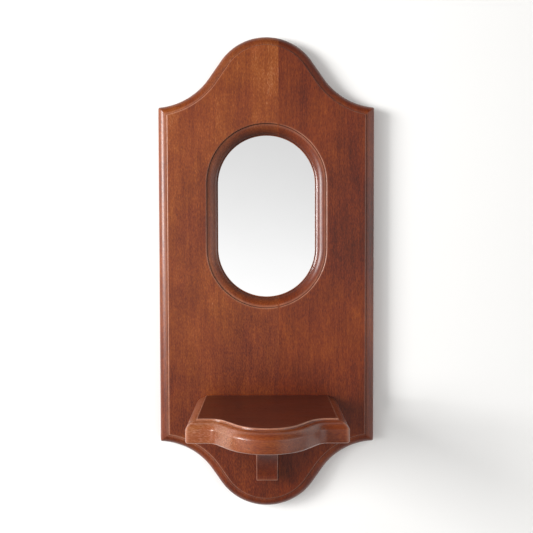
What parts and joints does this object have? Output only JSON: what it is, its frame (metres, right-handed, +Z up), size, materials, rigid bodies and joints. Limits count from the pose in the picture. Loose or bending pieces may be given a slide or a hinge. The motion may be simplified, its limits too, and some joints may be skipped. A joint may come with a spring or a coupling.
{
  "type": "wall mirror with shelf",
  "caption": "Wall-hung wooden panel with an ogee top and foot, an oblong mirror set behind a moulded opening, and a small serpentine shelf on a bracket.",
  "frame": {"origin": "on the wall plane behind the panel, on the centre line, level with the top of the shelf", "axes": "+Y into the wall, +Z up, +X to the right of a person looking into the mirror"},
  "size_m": [0.25, 0.1767, 0.5467],
  "materials": {
    "stained_wood_light": "satin red-brown stain, lighter stave",
    "stained_wood": "satin red-brown stain",
    "mirror": "silvered glass",
    "hardboard": "bare pressed board",
    "beech": "bare, fluted",
    "brass": "dulled brass",
    "plated_steel": "zinc plated, dulled",
    "screw_steel": "zinc plated"
  },
  "bodies": {
    "panel": {"panel_stave_left": "stained_wood_light", "panel_stave_right": "stained_wood", "mirror_glass": "mirror", "backing_board": "hardboard", "shelf_board": "stained_wood", "shelf_bracket": "stained_wood", "bracket_dowel": "beech", "shelf_screw_left": "screw_steel", "shelf_screw_right": "screw_steel", "bracket_screw_upper": "screw_steel", "bracket_screw_lower": "screw_steel", "keyhole_plate_left": "plated_steel", "keyhole_plate_right": "plated_steel", "keyhole_plate_screw_left_upper": "screw_steel", "keyhole_plate_screw_left_lower": "screw_steel", "keyhole_plate_screw_right_upper": "screw_steel", "keyhole_plate_screw_right_lower": "screw_steel", "turn_button_screw_upper_left": "screw_steel", "turn_button_screw_upper_right": "screw_steel", "turn_button_screw_lower_left": "screw_steel", "turn_button_screw_lower_right": "screw_steel"},
    "turn_button_upper_left": {"turn_button_upper_left": "brass"},
    "turn_button_upper_right": {"turn_button_upper_right": "brass"},
    "turn_button_lower_left": {"turn_button_lower_left": "brass"},
    "turn_button_lower_right": {"turn_button_lower_right": "brass"}
  },
  "joints": [
    {"name": "turn_button_upper_left_turn", "type": "hinge", "parent": "panel", "child": "turn_button_upper_left", "pos_m": [-0.069, -0.0025, 0.23225], "axis": [0, 1, 0], "range_deg": [-90, 90]},
    {"name": "turn_button_upper_right_turn", "type": "hinge", "parent": "panel", "child": "turn_button_upper_right", "pos_m": [0.069, -0.0025, 0.23225], "axis": [0, 1, 0], "range_deg": [-90, 90]},
    {"name": "turn_button_lower_left_turn", "type": "hinge", "parent": "panel", "child": "turn_button_lower_left", "pos_m": [-0.069, -0.0025, 0.18425], "axis": [0, 1, 0], "range_deg": [-90, 90]},
    {"name": "turn_button_lower_right_turn", "type": "hinge", "parent": "panel", "child": "turn_button_lower_right", "pos_m": [0.069, -0.0025, 0.18425], "axis": [0, 1, 0], "range_deg": [-90, 90]}
  ]
}
